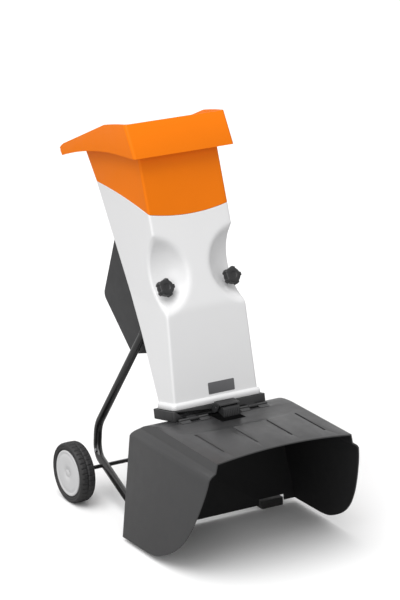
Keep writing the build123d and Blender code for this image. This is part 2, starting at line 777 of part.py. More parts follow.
with BuildPart() as leg_screws:
    for side in (-1, 1):
        seat_x = side * (leg_heel[0] - 1 + leg_radius)
        with BuildSketch(Plane(origin=(seat_x + side * 0.6, 297, 124), z_dir=(side, 0, 0))):
            Circle(5)
        extrude(amount=3.4)
        with BuildSketch(Plane(origin=(seat_x + side * 4, 297, 124), z_dir=(side, 0, 0))):
            RegularPolygon(2.5, 6)
        extrude(amount=-2, mode=Mode.SUBTRACT)
save(leg_screws.part, "leg_screws")

for side, name in ((-1, "left_foot"), (1, "right_foot")):
    with BuildPart() as foot:
        middle_x = side * (foot_inner_x + foot_outer_x) / 2
        middle_y = (foot_front_y + foot_rear_y) / 2
        with BuildSketch(Plane.XY):
            with Locations((middle_x, middle_y)):
                Rectangle(foot_outer_x - foot_inner_x, foot_rear_y - foot_front_y)
        extrude(amount=foot_height)
        fillet(foot.edges().filter_by(Axis.Z), radius=6)
        toe = Vector(side * leg_toe[0], leg_toe[1], leg_toe[2])
        heel = Vector(side * leg_heel[0], leg_heel[1], leg_heel[2])
        along = (heel - toe).normalized()
        with BuildSketch(Plane(origin=toe - along * 14, z_dir=along)):
            Circle(leg_radius + 4)
        extrude(amount=52)
        with BuildSketch(Plane.XY):
            Rectangle(900, 900)
        extrude(amount=-60, mode=Mode.SUBTRACT)
        with BuildSketch(Plane(origin=toe, z_dir=along)):
            Circle(leg_radius + 0.02)
        extrude(amount=90, mode=Mode.SUBTRACT)
    save(foot.part, name)

# --- Wheels ---
for side, name in ((-1, "left"), (1, "right")):
    hub_plane = Plane(origin=(side * wheel_middle, axle_y, wheel_radius), x_dir=(0, 1, 0), z_dir=(side, 0, 0))
    tyre_half = tyre_width / 2
    with BuildPart() as tyre:
        with BuildSketch(hub_plane.offset(-tyre_half)):
            Circle(wheel_radius)
            Circle(rim_radius, mode=Mode.SUBTRACT)
        extrude(amount=tyre_width)
        outer_rims = tyre.edges().filter_by(GeomType.CIRCLE).filter_by(lambda e: e.radius > wheel_radius - 1)
        fillet(outer_rims, radius=6)
        with BuildSketch(hub_plane.offset(-tyre_half + 9)):
            with PolarLocations(wheel_radius, 36):
                Rectangle(2.4, 3)
        extrude(amount=tyre_width - 18, mode=Mode.SUBTRACT)
    save(tyre.part, f"{name}_tyre")
    with BuildPart() as hub:
        with BuildSketch(hub_plane.offset(-tyre_half + 4)):
            Circle(rim_radius)
            Circle(rim_radius - 4, mode=Mode.SUBTRACT)
        extrude(amount=tyre_width - 10)
        with BuildSketch(hub_plane.offset(-3)):
            Circle(rim_radius - 3)
        extrude(amount=5)
        with BuildSketch(hub_plane.offset(-3)):
            with PolarLocations(41, 6):
                Circle(13)
        extrude(amount=5, mode=Mode.SUBTRACT)
        with BuildSketch(hub_plane.offset(-hub_half - 2)):
            Circle(14)
        extrude(amount=2 * hub_half + 2)
        with BuildSketch(hub_plane.offset(-tyre_half)):
            Circle(axle_radius + running)
        extrude(amount=tyre_width, mode=Mode.SUBTRACT)
    save(hub.part, f"{name}_wheel_hub")
    with BuildPart() as cap:
        with BuildSketch(hub_plane.offset(tyre_half - 4)):
            Circle(cap_radius)
        extrude(amount=3)
        fillet(cap.faces().sort_by(Axis.X)[0 if side < 0 else -1].edges(), radius=1.4)
        with BuildSketch(hub_plane.offset(tyre_half - 4)):
            Circle(cap_radius - 3)
            Circle(cap_radius - 6, mode=Mode.SUBTRACT)
        extrude(amount=-2)
    save(cap.part, f"{name}_hub_cap")

# --- Discharge hood ---
hood_depth = hood_rear_top[0] - front_y
flare_top = hood_step[-1]


def hood_section(inset, low):
    """Front view of the hood: crowned top, a step on each side, flaps that spread downwards."""
    bottom_x = flare_top[0] + (flare_top[1] - low) * hood_flare
    with BuildSketch(Plane(origin=(0, front_y - 10, 0), x_dir=(1, 0, 0), z_dir=(0, -1, 0))) as section:
        with BuildLine():
            shoulder = (hood_top_x - inset * 0.8, hood_side_top_z - inset)
            left = (-shoulder[0], shoulder[1])
            ThreePointArc(left, (0, hood_crown_z - inset), shoulder)
            steps = [(x - inset, z - inset * 0.7) for x, z in hood_step]
            right_side = [shoulder, *steps, (bottom_x - inset, low)]
            Polyline(*right_side)
            Polyline(*[(-x, z) for x, z in right_side])
            Line((bottom_x - inset, low), (-bottom_x + inset, low))
        make_face()
    return section.sketch


def hood_side(inset):
    """Side outline of the hood: falling back over the top, one long curve up the flaps' front."""
    with BuildSketch(side_plane(-400)) as outline:
        with BuildLine():
            top_rear = (hood_rear_top[0] - inset, hood_rear_top[1] - inset)
            front_low = (front_y + 0.0, hood_step[-1][1] + 6)
            front_high = (front_y + 0.0, hood_crown_z + 6)
            Spline((-320, hood_crown_z + 6 - inset), (-160, 357 - inset), (-90, 336 - inset), top_rear)
            Line((-320, hood_crown_z + 6 - inset), front_high)
            Line(front_high, front_low)
            low = [(-480, 240), (-440, 144), (-374, 66), (-300, 26), (-235, 14)]
            rear_low = (hood_rear_bottom[0] - inset, hood_rear_bottom[1])
            Spline(front_low, *low, tangents=((0.06, -1), (1, -0.06)))
            Line(low[-1], rear_low)
            Line(rear_low, top_rear)
        make_face()
    return outline.sketch


with BuildPart() as hood:
    with BuildPart(mode=Mode.PRIVATE) as hood_block:
        add(hood_section(0, 4))
        extrude(amount=hood_depth + 60, dir=(0, 1, 0))
        with BuildPart(mode=Mode.PRIVATE) as trim:
            add(hood_side(0))
            extrude(amount=800, dir=(1, 0, 0))
        add(trim.part, mode=Mode.INTERSECT)
    add(hood_block.part)
    with BuildPart(mode=Mode.PRIVATE) as hood_hollow:
        add(hood_section(hood_wall, -20))
        extrude(amount=hood_depth + 60, dir=(0, 1, 0))
        with BuildPart(mode=Mode.PRIVATE) as trim:
            with BuildSketch(side_plane(-400)):
                top_rear = (hood_rear_top[0] - hood_wall, hood_rear_top[1] - hood_wall)
                with BuildLine():
                    Spline(
                        (-320, hood_crown_z + 6 - hood_wall), (-160, 357 - hood_wall),
                        (-90, 336 - hood_wall), top_rear,
                    )
                    slope = (hood_rear_top[0] - hood_rear_bottom[0]) / (hood_rear_top[1] - hood_rear_bottom[1])
                    low_back = (hood_rear_bottom[0] - hood_wall - slope * 40, hood_rear_bottom[1] - 40)
                    Polyline(
                        top_rear, low_back, (front_y - 40, low_back[1]),
                        (front_y - 40, hood_crown_z + 6 - hood_wall), (-320, hood_crown_z + 6 - hood_wall),
                    )
                make_face()
            extrude(amount=800, dir=(1, 0, 0))
        add(trim.part, mode=Mode.INTERSECT)
    add(hood_hollow.part, mode=Mode.SUBTRACT)
    # room for the neck, down to just under it
    with BuildSketch(seat.offset(-seat_gap - neck_height - 2)):
        with Locations((0, 100 - neck_front - 3)):
            Rectangle(2 * neck_half_width + 6, 200)
    extrude(amount=120, mode=Mode.SUBTRACT)
    # room for the latch
    latch_room = 62.0
    with BuildSketch(side_plane(-40)):
        with Locations((hinge_y, hinge_z)):
            Circle(latch_room)
    extrude(amount=80, mode=Mode.SUBTRACT)
    # room for the feet
    for side in (-1, 1):
        with BuildSketch(Plane.XY):
            with Locations((side * (foot_inner_x + foot_outer_x) / 2, -90)):
                Rectangle(foot_outer_x - foot_inner_x + 12, 60)
        extrude(amount=foot_height + 6, mode=Mode.SUBTRACT)
    # room for the neck's hinge barrels, and the hood's own barrels beside them
    for side in (-1, 1):
        with BuildSketch(side_plane(side * 100 - 15 - gap)):
            with Locations((hinge_y, hinge_z)):
                Circle(hinge_barrel_radius + 2)
            Polygon(
                (hinge_y, hinge_z - hinge_barrel_radius - 2), (hinge_y, hinge_z + hinge_barrel_radius + 2),
                (hinge_y + 24, hinge_z + 8), (hinge_y + 24, hinge_z - 10), align=None,
            )
        extrude(amount=30 + 2 * gap, mode=Mode.SUBTRACT)
        for inner in (52, 115 + gap):
            start_x = side * inner if side > 0 else side * (inner + 32)
            with BuildSketch(side_plane(start_x)):
                with Locations((hinge_y, hinge_z)):
                    Circle(hinge_barrel_radius)
                Polygon(
                    (hinge_y, hinge_z - hinge_barrel_radius), (hinge_y, hinge_z + 2),
                    (hinge_y - 20, hinge_z - 2), (hinge_y - 20, hinge_z - 5), align=None,
                )
            extrude(amount=32 - gap)
            with BuildSketch(side_plane(start_x)):
                with Locations((hinge_y, hinge_z)):
                    Circle(hinge_pin_radius + running)
            extrude(amount=32 - gap, mode=Mode.SUBTRACT)
    # four shallow grooves and a plain ring in the top
    with BuildPart(mode=Mode.PRIVATE) as groove_skin:
        add(hood_section(-2, 200))
        extrude(amount=hood_depth, dir=(0, 1, 0))
        with BuildPart(mode=Mode.PRIVATE) as groove_core:
            add(hood_section(groove_depth, 150))
            extrude(amount=hood_depth + 5, dir=(0, 1, 0))
        add(groove_core.part, mode=Mode.SUBTRACT)
        with BuildPart(mode=Mode.PRIVATE) as groove_lines:
            with BuildSketch(Plane.XY.offset(300)):
                for x in groove_places:
                    with Locations((x, groove_middle_y)):
                        SlotOverall(groove_length, groove_width, rotation=90)
                with Locations(ring_mark):
                    Circle(ring_mark_radius)
                    Circle(ring_mark_radius - 3, mode=Mode.SUBTRACT)
            extrude(amount=100)
        add(groove_lines.part, mode=Mode.INTERSECT)
    add(groove_skin.part, mode=Mode.SUBTRACT)
save(hood.part, "discharge_hood")

# --- Pins of the hood hinge, held in the neck ---
with BuildPart() as hood_hinge_pins:
    for side in (-1, 1):
        with BuildSketch(side_plane(side * 100 - 47)):
            with Locations((hinge_y, hinge_z)):
                Circle(hinge_pin_radius)
        extrude(amount=94)
save(hood_hinge_pins.part, "hood_hinge_pins")

# --- Latch that holds the hood: a ribbed sprung catch under a small bracket ---
latch_half = 26.5
latch_pin_y = -178.0
latch_pin_z = 387.0
with BuildPart() as latch_bracket:
    with BuildSketch(side_plane(-latch_half - 6)):
        Polygon(
            (-160, 366), (-154, 377), (-168, 397), (-168, 402), (-203, 402), (-205, 399),
            (-196, 397), (-186, 380), (-176, 372), (-170, 368), align=None,
        )
    extrude(amount=2 * latch_half + 12)
    with BuildSketch(side_plane(-latch_half - gap)):
        Polygon((-165, 340), (-165, 397), (-230, 397), (-230, 340), align=None)
    extrude(amount=2 * latch_half + 2 * gap, mode=Mode.SUBTRACT)
    with BuildSketch(side_plane(-latch_half - 8)):
        with Locations((latch_pin_y, latch_pin_z)):
            Circle(2.5 + running)
    extrude(amount=2 * latch_half + 16, mode=Mode.SUBTRACT)
    add(neck.part, mode=Mode.SUBTRACT)
save(latch_bracket.part, "latch_bracket")

with BuildPart() as latch_pin:
    with BuildSketch(side_plane(-latch_half - 6)):
        with Locations((latch_pin_y, latch_pin_z)):
            Circle(2.5)
    extrude(amount=2 * latch_half + 12)
save(latch_pin.part, "latch_pin")

with BuildPart() as hood_latch:
    with BuildSketch(side_plane(-latch_half)):
        Polygon(
            (-171, 383), (-171, 394), (-210, 394.5), (-214, 390), (-219, 369), (-214, 366), (-182, 374),
            align=None,
        )
        with Locations((latch_pin_y, latch_pin_z)):
            Circle(2.5 + running, mode=Mode.SUBTRACT)
    extrude(amount=2 * latch_half)
    rib_count = 9
    rib_pitch = 2 * latch_half / rib_count
    for rib in range(rib_count):
        with BuildSketch(side_plane(-latch_half + (rib + 0.3) * rib_pitch)):
            Polygon((-240, 400), (-212, 400), (-216, 371), (-209, 360), (-240, 360), align=None)
        extrude(amount=rib_pitch * 0.4, mode=Mode.SUBTRACT)
save(hood_latch.part, "hood_latch")

# --- Switch on the cover's upper rear face, with the mains inlet below it ---
face_run = Vector(0, cover_apex[0] - cover_tip[0], cover_apex[1] - cover_tip[1]).normalized()
face_out = (0, -face_run.Z, face_run.Y)


def cover_face(down):
    """Plane on the cover's upper rear face, 'down' from its tip."""
    spot = Vector(0, cover_tip[0], cover_tip[1]) + face_run * down
    return Plane(origin=spot, x_dir=(-1, 0, 0), z_dir=face_out)


switch_at = cover_face(118)
inlet_at = cover_face(196)
switch_depth = 20.0
with BuildPart() as switch_box:
    with BuildSketch(switch_at.offset(0.02)):
        RectangleRounded(78, 58, 8)
    extrude(amount=switch_depth)
    fillet(switch_box.faces().sort_by(Axis((0, 0, 0), face_out))[-1].edges(), radius=3)
    for x in (-18, 18):
        with BuildSketch(switch_at.offset(switch_depth + 1)):
            with Locations((x, 0)):
                Circle(12 + gap)
        extrude(amount=-14, mode=Mode.SUBTRACT)
save(switch_box.part, "switch_box")

for x, name in ((-18, "start_button"), (18, "stop_button")):
    with BuildPart() as button:
        with BuildSketch(switch_at.offset(switch_depth - 6)):
            with Locations((x, 0)):
                Circle(12)
        extrude(amount=10)
        fillet(button.faces().sort_by(Axis((0, 0, 0), face_out))[-1].edges(), radius=1.5)
    save(button.part, name)

with BuildPart() as power_inlet:
    with BuildSketch(inlet_at.offset(0.02)):
        RectangleRounded(58, 50, 10)
    extrude(amount=34)
    with BuildSketch(inlet_at.offset(6)):
        Circle(20)
    extrude(amount=30, mode=Mode.SUBTRACT)
save(power_inlet.part, "power_inlet")

with BuildPart() as inlet_pins:
    with BuildSketch(inlet_at.offset(6.02)):
        with Locations((-9.5, 0), (9.5, 0)):
            Circle(2.4)
        with Locations((0, 9)):
            Rectangle(6, 2.5)
    extrude(amount=19)
save(inlet_pins.part, "inlet_pins")

# --- Screws of the motor cover, two along each side ---
with BuildPart() as cover_screws:
    for side in (-1, 1):
        for screw_y, screw_z in ((262, 790), (178, 472)):
            head = Plane(origin=(side * cover_half_width, screw_y, screw_z), x_dir=(0, 1, 0), z_dir=(side, 0, 0))
            with BuildSketch(head.offset(0.02)):
                Circle(4.5)
                RegularPolygon(2.2, 6, mode=Mode.SUBTRACT)
            extrude(amount=2.2)
            with BuildSketch(head.offset(0.02)):
                Circle(4.5)
            extrude(amount=0.7)
save(cover_screws.part, "cover_screws")
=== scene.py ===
"""Looks of the electric garden chipper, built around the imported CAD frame.

Metres, +Z up, -Y is the discharge side.
"""

import json
from math import cos, hypot, pi, radians, sin, tan

import bmesh
import bpy
import numpy as np
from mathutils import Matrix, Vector

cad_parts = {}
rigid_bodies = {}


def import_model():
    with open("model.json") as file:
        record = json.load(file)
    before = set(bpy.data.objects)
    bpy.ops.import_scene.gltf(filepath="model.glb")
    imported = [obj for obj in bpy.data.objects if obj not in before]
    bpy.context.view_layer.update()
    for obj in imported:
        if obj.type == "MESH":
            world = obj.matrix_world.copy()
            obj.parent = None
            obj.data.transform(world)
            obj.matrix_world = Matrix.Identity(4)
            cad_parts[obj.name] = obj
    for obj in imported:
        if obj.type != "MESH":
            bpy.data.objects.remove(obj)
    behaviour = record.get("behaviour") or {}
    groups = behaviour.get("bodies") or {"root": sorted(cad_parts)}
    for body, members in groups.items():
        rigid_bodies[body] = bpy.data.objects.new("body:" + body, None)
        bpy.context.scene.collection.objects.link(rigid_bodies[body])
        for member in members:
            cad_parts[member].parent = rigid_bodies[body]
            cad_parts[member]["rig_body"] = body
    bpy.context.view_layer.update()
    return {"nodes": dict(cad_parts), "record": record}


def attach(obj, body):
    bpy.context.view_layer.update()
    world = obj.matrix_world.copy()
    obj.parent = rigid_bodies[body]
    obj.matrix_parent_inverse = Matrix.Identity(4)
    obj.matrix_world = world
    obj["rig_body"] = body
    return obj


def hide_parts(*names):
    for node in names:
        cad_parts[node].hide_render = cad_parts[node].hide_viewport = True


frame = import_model()

# --- Sizes the frame and the looks share, metres and radians ---
HOPPER_HALF = 0.133
HOPPER_WALL = 0.003
FRONT_LEAN = radians(20.5)
LOWER_FRONT_LEAN = radians(12)
REAR_LEAN = radians(34)
LOWER_REAR_LEAN = radians(31)
FRONT_BEND = (-0.072, 0.662)  # y, z where the front face changes its lean
REAR_BEND = (0.075, 0.565)
CORNER_RADIUS = 0.007
REAR_LIP = 0.004  # how far the shell turns in behind each side
FLANGE_FRONT = (-0.138, 0.384)  # y, z of the flange's lower front edge
FLANGE_DEPTH = 0.101
FLANGE_HALF = 0.149
FOOT_HALF = 0.144  # half the hopper's width at FOOT_Z, below the seat
FOOT_Z = 0.324
SEAT_TILT = radians(12.4)
SEAT_CLEARANCE = 0.002
SPLIT = ((-0.020, 0.919), (0.180, 0.946), (0.420, 0.952))  # y, z along the joint with the funnel
SPLIT_SAG = 0.013
SPLIT_LINE = 0.0008  # the shadow gap at that joint
COVER_TIP_Z = 0.855
SCOOP_CENTRE = (0.140, -0.090, 0.783)  # the right knob hollow; the left one mirrors it
SCOOP_HALF_WIDTH = 0.118
SCOOP_RADIUS = 0.121
SCOOP_PUSH = (0.16, 0.30, -0.02)  # a hollow's wall is found by pushing in this way from its centre
RIM_WIDTH_FRONT = 0.024  # how far each side of a hollow's rim is softened
RIM_WIDTH_SIDE = 0.009
BEND_WIDTH = 0.020
BEND_SOFTNESS = 0.7
KNOB_X = 0.112
KNOB_ALONG = 0.070  # distance up the leaning rear face from its bend
KNOB_OUT = 0.175  # distance of a grip's middle in front of that face
KNOB_SEAT_OUT = 0.1585
WHEEL_MIDDLE_X = 0.269
WHEEL_CENTRE = (0.245, 0.092)
HOOD_MIDDLE = (0.0, -0.28, 0.20)

# --- Mesh densities ---
SHELL_COLUMNS = 271
SHELL_ROWS = 181
SMOOTHING_PASSES = 22
SMOOTHING_SHARE = 0.8
STRIP_COLUMNS = 60
STRIP_ROWS = 24
SEAT_STEPS = 64
KNOB_STEPS = 160
TYRE_STEPS = 360
CAP_STEPS = 128

# --- Turned outlines: radius, distance along the axis ---
KNOB_SEAT_OUTLINE = (
    (0.0046, 0.0145), (0.0046, 0.0006), (0.0052, 0.0), (0.0096, 0.0), (0.0102, 0.0006),
    (0.0104, 0.002), (0.0106, 0.008), (0.0114, 0.0165), (0.0140, 0.0245), (0.0046, 0.0245),
)
KNOB_OUTLINE = (
    (0.0, -0.0088), (0.0080, -0.0088), (0.0092, -0.0092), (0.0102, -0.0108), (0.0112, -0.0114),
    (0.0150, -0.0114), (0.0215, -0.0110), (0.0250, -0.0100), (0.0270, -0.0082), (0.0279, -0.0058),
    (0.0283, 0.0), (0.0281, 0.0070), (0.0274, 0.0096), (0.0258, 0.0110), (0.0200, 0.0114),
    (0.0115, 0.0114), (0.0110, 0.0120), (0.0108, 0.0155), (0.0, 0.0155),
)
TYRE_OUTLINE = (
    (0.0732, -0.0150), (0.0732, -0.0205), (0.0745, -0.0228), (0.0765, -0.0236), (0.0800, -0.0243),
    (0.0805, -0.0236), (0.0812, -0.0236), (0.0817, -0.0244), (0.0850, -0.0249), (0.0872, -0.0243),
    (0.0888, -0.0226), (0.0898, -0.0200), (0.0905, -0.0186), (0.0912, -0.0180), (0.0916, -0.0120),
    (0.0919, -0.0060), (0.0920, -0.0013), (0.0920, -0.0010), (0.0920, 0.0010), (0.0920, 0.0013),
    (0.0919, 0.0060), (0.0916, 0.0120), (0.0912, 0.0180), (0.0905, 0.0186), (0.0898, 0.0200),
    (0.0888, 0.0226), (0.0872, 0.0243), (0.0850, 0.0249), (0.0817, 0.0244), (0.0812, 0.0236),
    (0.0805, 0.0236), (0.0800, 0.0243), (0.0765, 0.0236), (0.0745, 0.0228), (0.0732, 0.0205),
    (0.0732, 0.0150), (0.0732, -0.0150),
)
CAP_OUTLINE = (
    (0.0, 0.0222), (0.0110, 0.0222), (0.0118, 0.0217), (0.0126, 0.0217), (0.0134, 0.0224),
    (0.0300, 0.0231), (0.0480, 0.0232), (0.0560, 0.0228), (0.0585, 0.0219), (0.0605, 0.0219),
    (0.0625, 0.0229), (0.0660, 0.0236), (0.0685, 0.0232), (0.0698, 0.0220), (0.0700, 0.0205),
    (0.0697, 0.0192), (0.0670, 0.0190), (0.0670, 0.0170), (0.0640, 0.0170), (0.0640, 0.0200),
    (0.0, 0.0206),
)
# Rings round the flange: inset from its outline, height above the seat, corner radius
FLANGE_RINGS = (
    (0.014, 0.0, 0.010), (0.001, 0.0, 0.012), (0.0, 0.001, 0.012), (0.0, 0.0125, 0.012),
    (0.0006, 0.0140, 0.012), (0.0035, 0.0182, 0.011), (0.0056, 0.0196, 0.010), (0.0100, 0.0200, 0.008),
    (0.0140, 0.0200, 0.006),
)

# --- Width of the rounding on each part's edges ---
SOFT_WIDTHS = {
    "funnel": 0.0011, "motor_cover": 0.0010, "discharge_hood": 0.0011, "neck": 0.0010, "hood_latch": 0.0008,
    "latch_bracket": 0.0006, "label_plate": 0.0003, "left_foot": 0.0012, "right_foot": 0.0012,
    "left_wheel_hub": 0.0007, "right_wheel_hub": 0.0007, "leg_brackets": 0.0008, "switch_box": 0.0012,
    "start_button": 0.0006, "stop_button": 0.0006, "power_inlet": 0.0006, "back_plate": 0.0006,
    "funnel_screws": 0.0003, "cover_screws": 0.0003, "leg_screws": 0.0004, "splash_guard": 0.0005,
}


# --- Materials ---
DUST_COLOUR = (0.30, 0.28, 0.25, 1.0)


def noise(nodes, links, coordinates, scale, detail=3.0, rough=0.55):
    texture = nodes.new("ShaderNodeTexNoise")
    texture.inputs["Scale"].default_value = scale
    texture.inputs["Detail"].default_value = detail
    texture.inputs["Roughness"].default_value = rough
    links.new(coordinates, texture.inputs["Vector"])
    return texture.outputs["Fac"]


def remap(nodes, links, value, low, high, to_low, to_high):
    node = nodes.new("ShaderNodeMapRange")
    node.inputs["From Min"].default_value = low
    node.inputs["From Max"].default_value = high
    node.inputs["To Min"].default_value = to_low
    node.inputs["To Max"].default_value = to_high
    links.new(value, node.inputs["Value"])
    return node.outputs["Result"]


def blend_colours(nodes, links, share, first, second):
    node = nodes.new("ShaderNodeMix")
    node.data_type = "RGBA"
    links.new(share, node.inputs[0])
    for socket, colour in ((node.inputs[6], first), (node.inputs[7], second)):
        if isinstance(colour, bpy.types.NodeSocket):
            links.new(colour, socket)
        else:
            socket.default_value = colour
    return node.outputs[2]


def tinted(colour, factor):
    return (*[min(1.0, c * factor) for c in colour], 1.0)


def product_of(nodes, links, first, second):
    node = nodes.new("ShaderNodeMath")
    node.operation = "MULTIPLY"
    links.new(first, node.inputs[0])
    links.new(second, node.inputs[1])
    return node.outputs["Value"]


def stretched(nodes, links, coordinates, stretch):
    """Coordinates for grain that runs along one direction, as brushed metal has."""
    mapping = nodes.new("ShaderNodeMapping")
    mapping.inputs["Scale"].default_value = stretch
    links.new(coordinates, mapping.inputs["Vector"])
    return mapping.outputs["Vector"]


def worn_edges(nodes, links, coordinates, strength, width):
    """Share of rubbing at each place: patchy, and only along edges."""
    bevel = nodes.new("ShaderNodeBevel")
    bevel.samples = 4
    bevel.inputs["Radius"].default_value = width
    geometry = nodes.new("ShaderNodeNewGeometry")
    facing = nodes.new("ShaderNodeVectorMath")
    facing.operation = "DOT_PRODUCT"
    links.new(bevel.outputs["Normal"], facing.inputs[0])
    links.new(geometry.outputs["Normal"], facing.inputs[1])
    worn = remap(nodes, links, facing.outputs["Value"], 0.995, 0.85, 0.0, strength)
    patches = remap(nodes, links, noise(nodes, links, coordinates, 60.0, 4.0), 0.35, 0.65, 0.2, 1.0)
    return product_of(nodes, links, worn, patches)


def settled_dust(nodes, links, coordinates, height, strength):
    """Share of dust at each place: cloudy, and fading out at a height above the ground."""
    split = nodes.new("ShaderNodeSeparateXYZ")
    links.new(coordinates, split.inputs["Vector"])
    low = remap(nodes, links, split.outputs["Z"], 0.0, height, strength, 0.0)
    cloud = remap(nodes, links, noise(nodes, links, coordinates, 38.0, 6.0, 0.7), 0.4, 0.7, 0.15, 1.0)
    return product_of(nodes, links, low, cloud)


def pebbled(nodes, links, coordinates, scale, fine):
    """Height of a moulded texture: small rounded cells with fine grain on them."""
    cells = nodes.new("ShaderNodeTexVoronoi")
    cells.feature = "SMOOTH_F1"
    cells.inputs["Scale"].default_value = scale
    cells.inputs["Smoothness"].default_value = 0.6
    links.new(coordinates, cells.inputs["Vector"])
    total = nodes.new("ShaderNodeMath")
    total.operation = "ADD"
    links.new(cells.outputs["Distance"], total.inputs[0])
    links.new(fine, total.inputs[1])
    return total.outputs["Value"]


def finish_of(name, colour, rough, **options):
    """Moulded, painted or metal finish: colour drift, grain, roughness drift, edge wear and settled dust."""
    material = bpy.data.materials.new(name)
    material.use_nodes = True
    nodes, links = material.node_tree.nodes, material.node_tree.links
    shader = nodes["Principled BSDF"]
    shader.inputs["Metallic"].default_value = options.get("metallic", 0.0)
    shader.inputs["Coat Weight"].default_value = options.get("coat", 0.0)
    shader.inputs["Coat Roughness"].default_value = options.get("coat_rough", 0.08)
    shader.inputs["Specular IOR Level"].default_value = options.get("specular", 0.5)
    shader.inputs["IOR"].default_value = 1.5
    coordinates = nodes.new("ShaderNodeTexCoord").outputs["Object"]
    grain_place = coordinates
    if options.get("stretch"):
        grain_place = stretched(nodes, links, coordinates, options["stretch"])

    drift = remap(nodes, links, noise(nodes, links, coordinates, 9.0, 4.0), 0.3, 0.7, 0.0, 1.0)
    spread = options.get("drift", 0.05)
    shown = blend_colours(nodes, links, drift, tinted(colour, 1 - spread), tinted(colour, 1 + spread))
    fine = noise(nodes, links, grain_place, options.get("grain_scale", 900.0), 2.0)
    if options.get("speckle"):
        speck = remap(nodes, links, fine, 0.35, 0.7, 0.0, 1.0)
        shown = blend_colours(nodes, links, speck, shown, tinted(colour, 1 + options["speckle"]))
    if options.get("wear"):
        worn = worn_edges(nodes, links, coordinates, options["wear"], 0.0018)
        shown = blend_colours(nodes, links, worn, shown, tinted(colour, 1 + options.get("wear_lift", 0.9)))
    if options.get("dust"):
        dusty = settled_dust(nodes, links, coordinates, *options["dust"])
        shown = blend_colours(nodes, links, dusty, shown, DUST_COLOUR)
    links.new(shown, shader.inputs["Base Color"])

    patch = noise(nodes, links, coordinates, 22.0, 5.0)
    swing = options.get("rough_drift", 0.06)
    rough_out = remap(nodes, links, patch, 0.3, 0.7, max(0.02, rough - swing), rough + swing)
    links.new(rough_out, shader.inputs["Roughness"])

    height = fine
    if options.get("pebble"):
        height = pebbled(nodes, links, grain_place, options["pebble"], fine)
    bump = nodes.new("ShaderNodeBump")
    bump.inputs["Strength"].default_value = options.get("bump", 0.25)
    bump.inputs["Distance"].default_value = 0.0002
    links.new(height, bump.inputs["Height"])
    links.new(bump.outputs["Normal"], shader.inputs["Normal"])
    return material


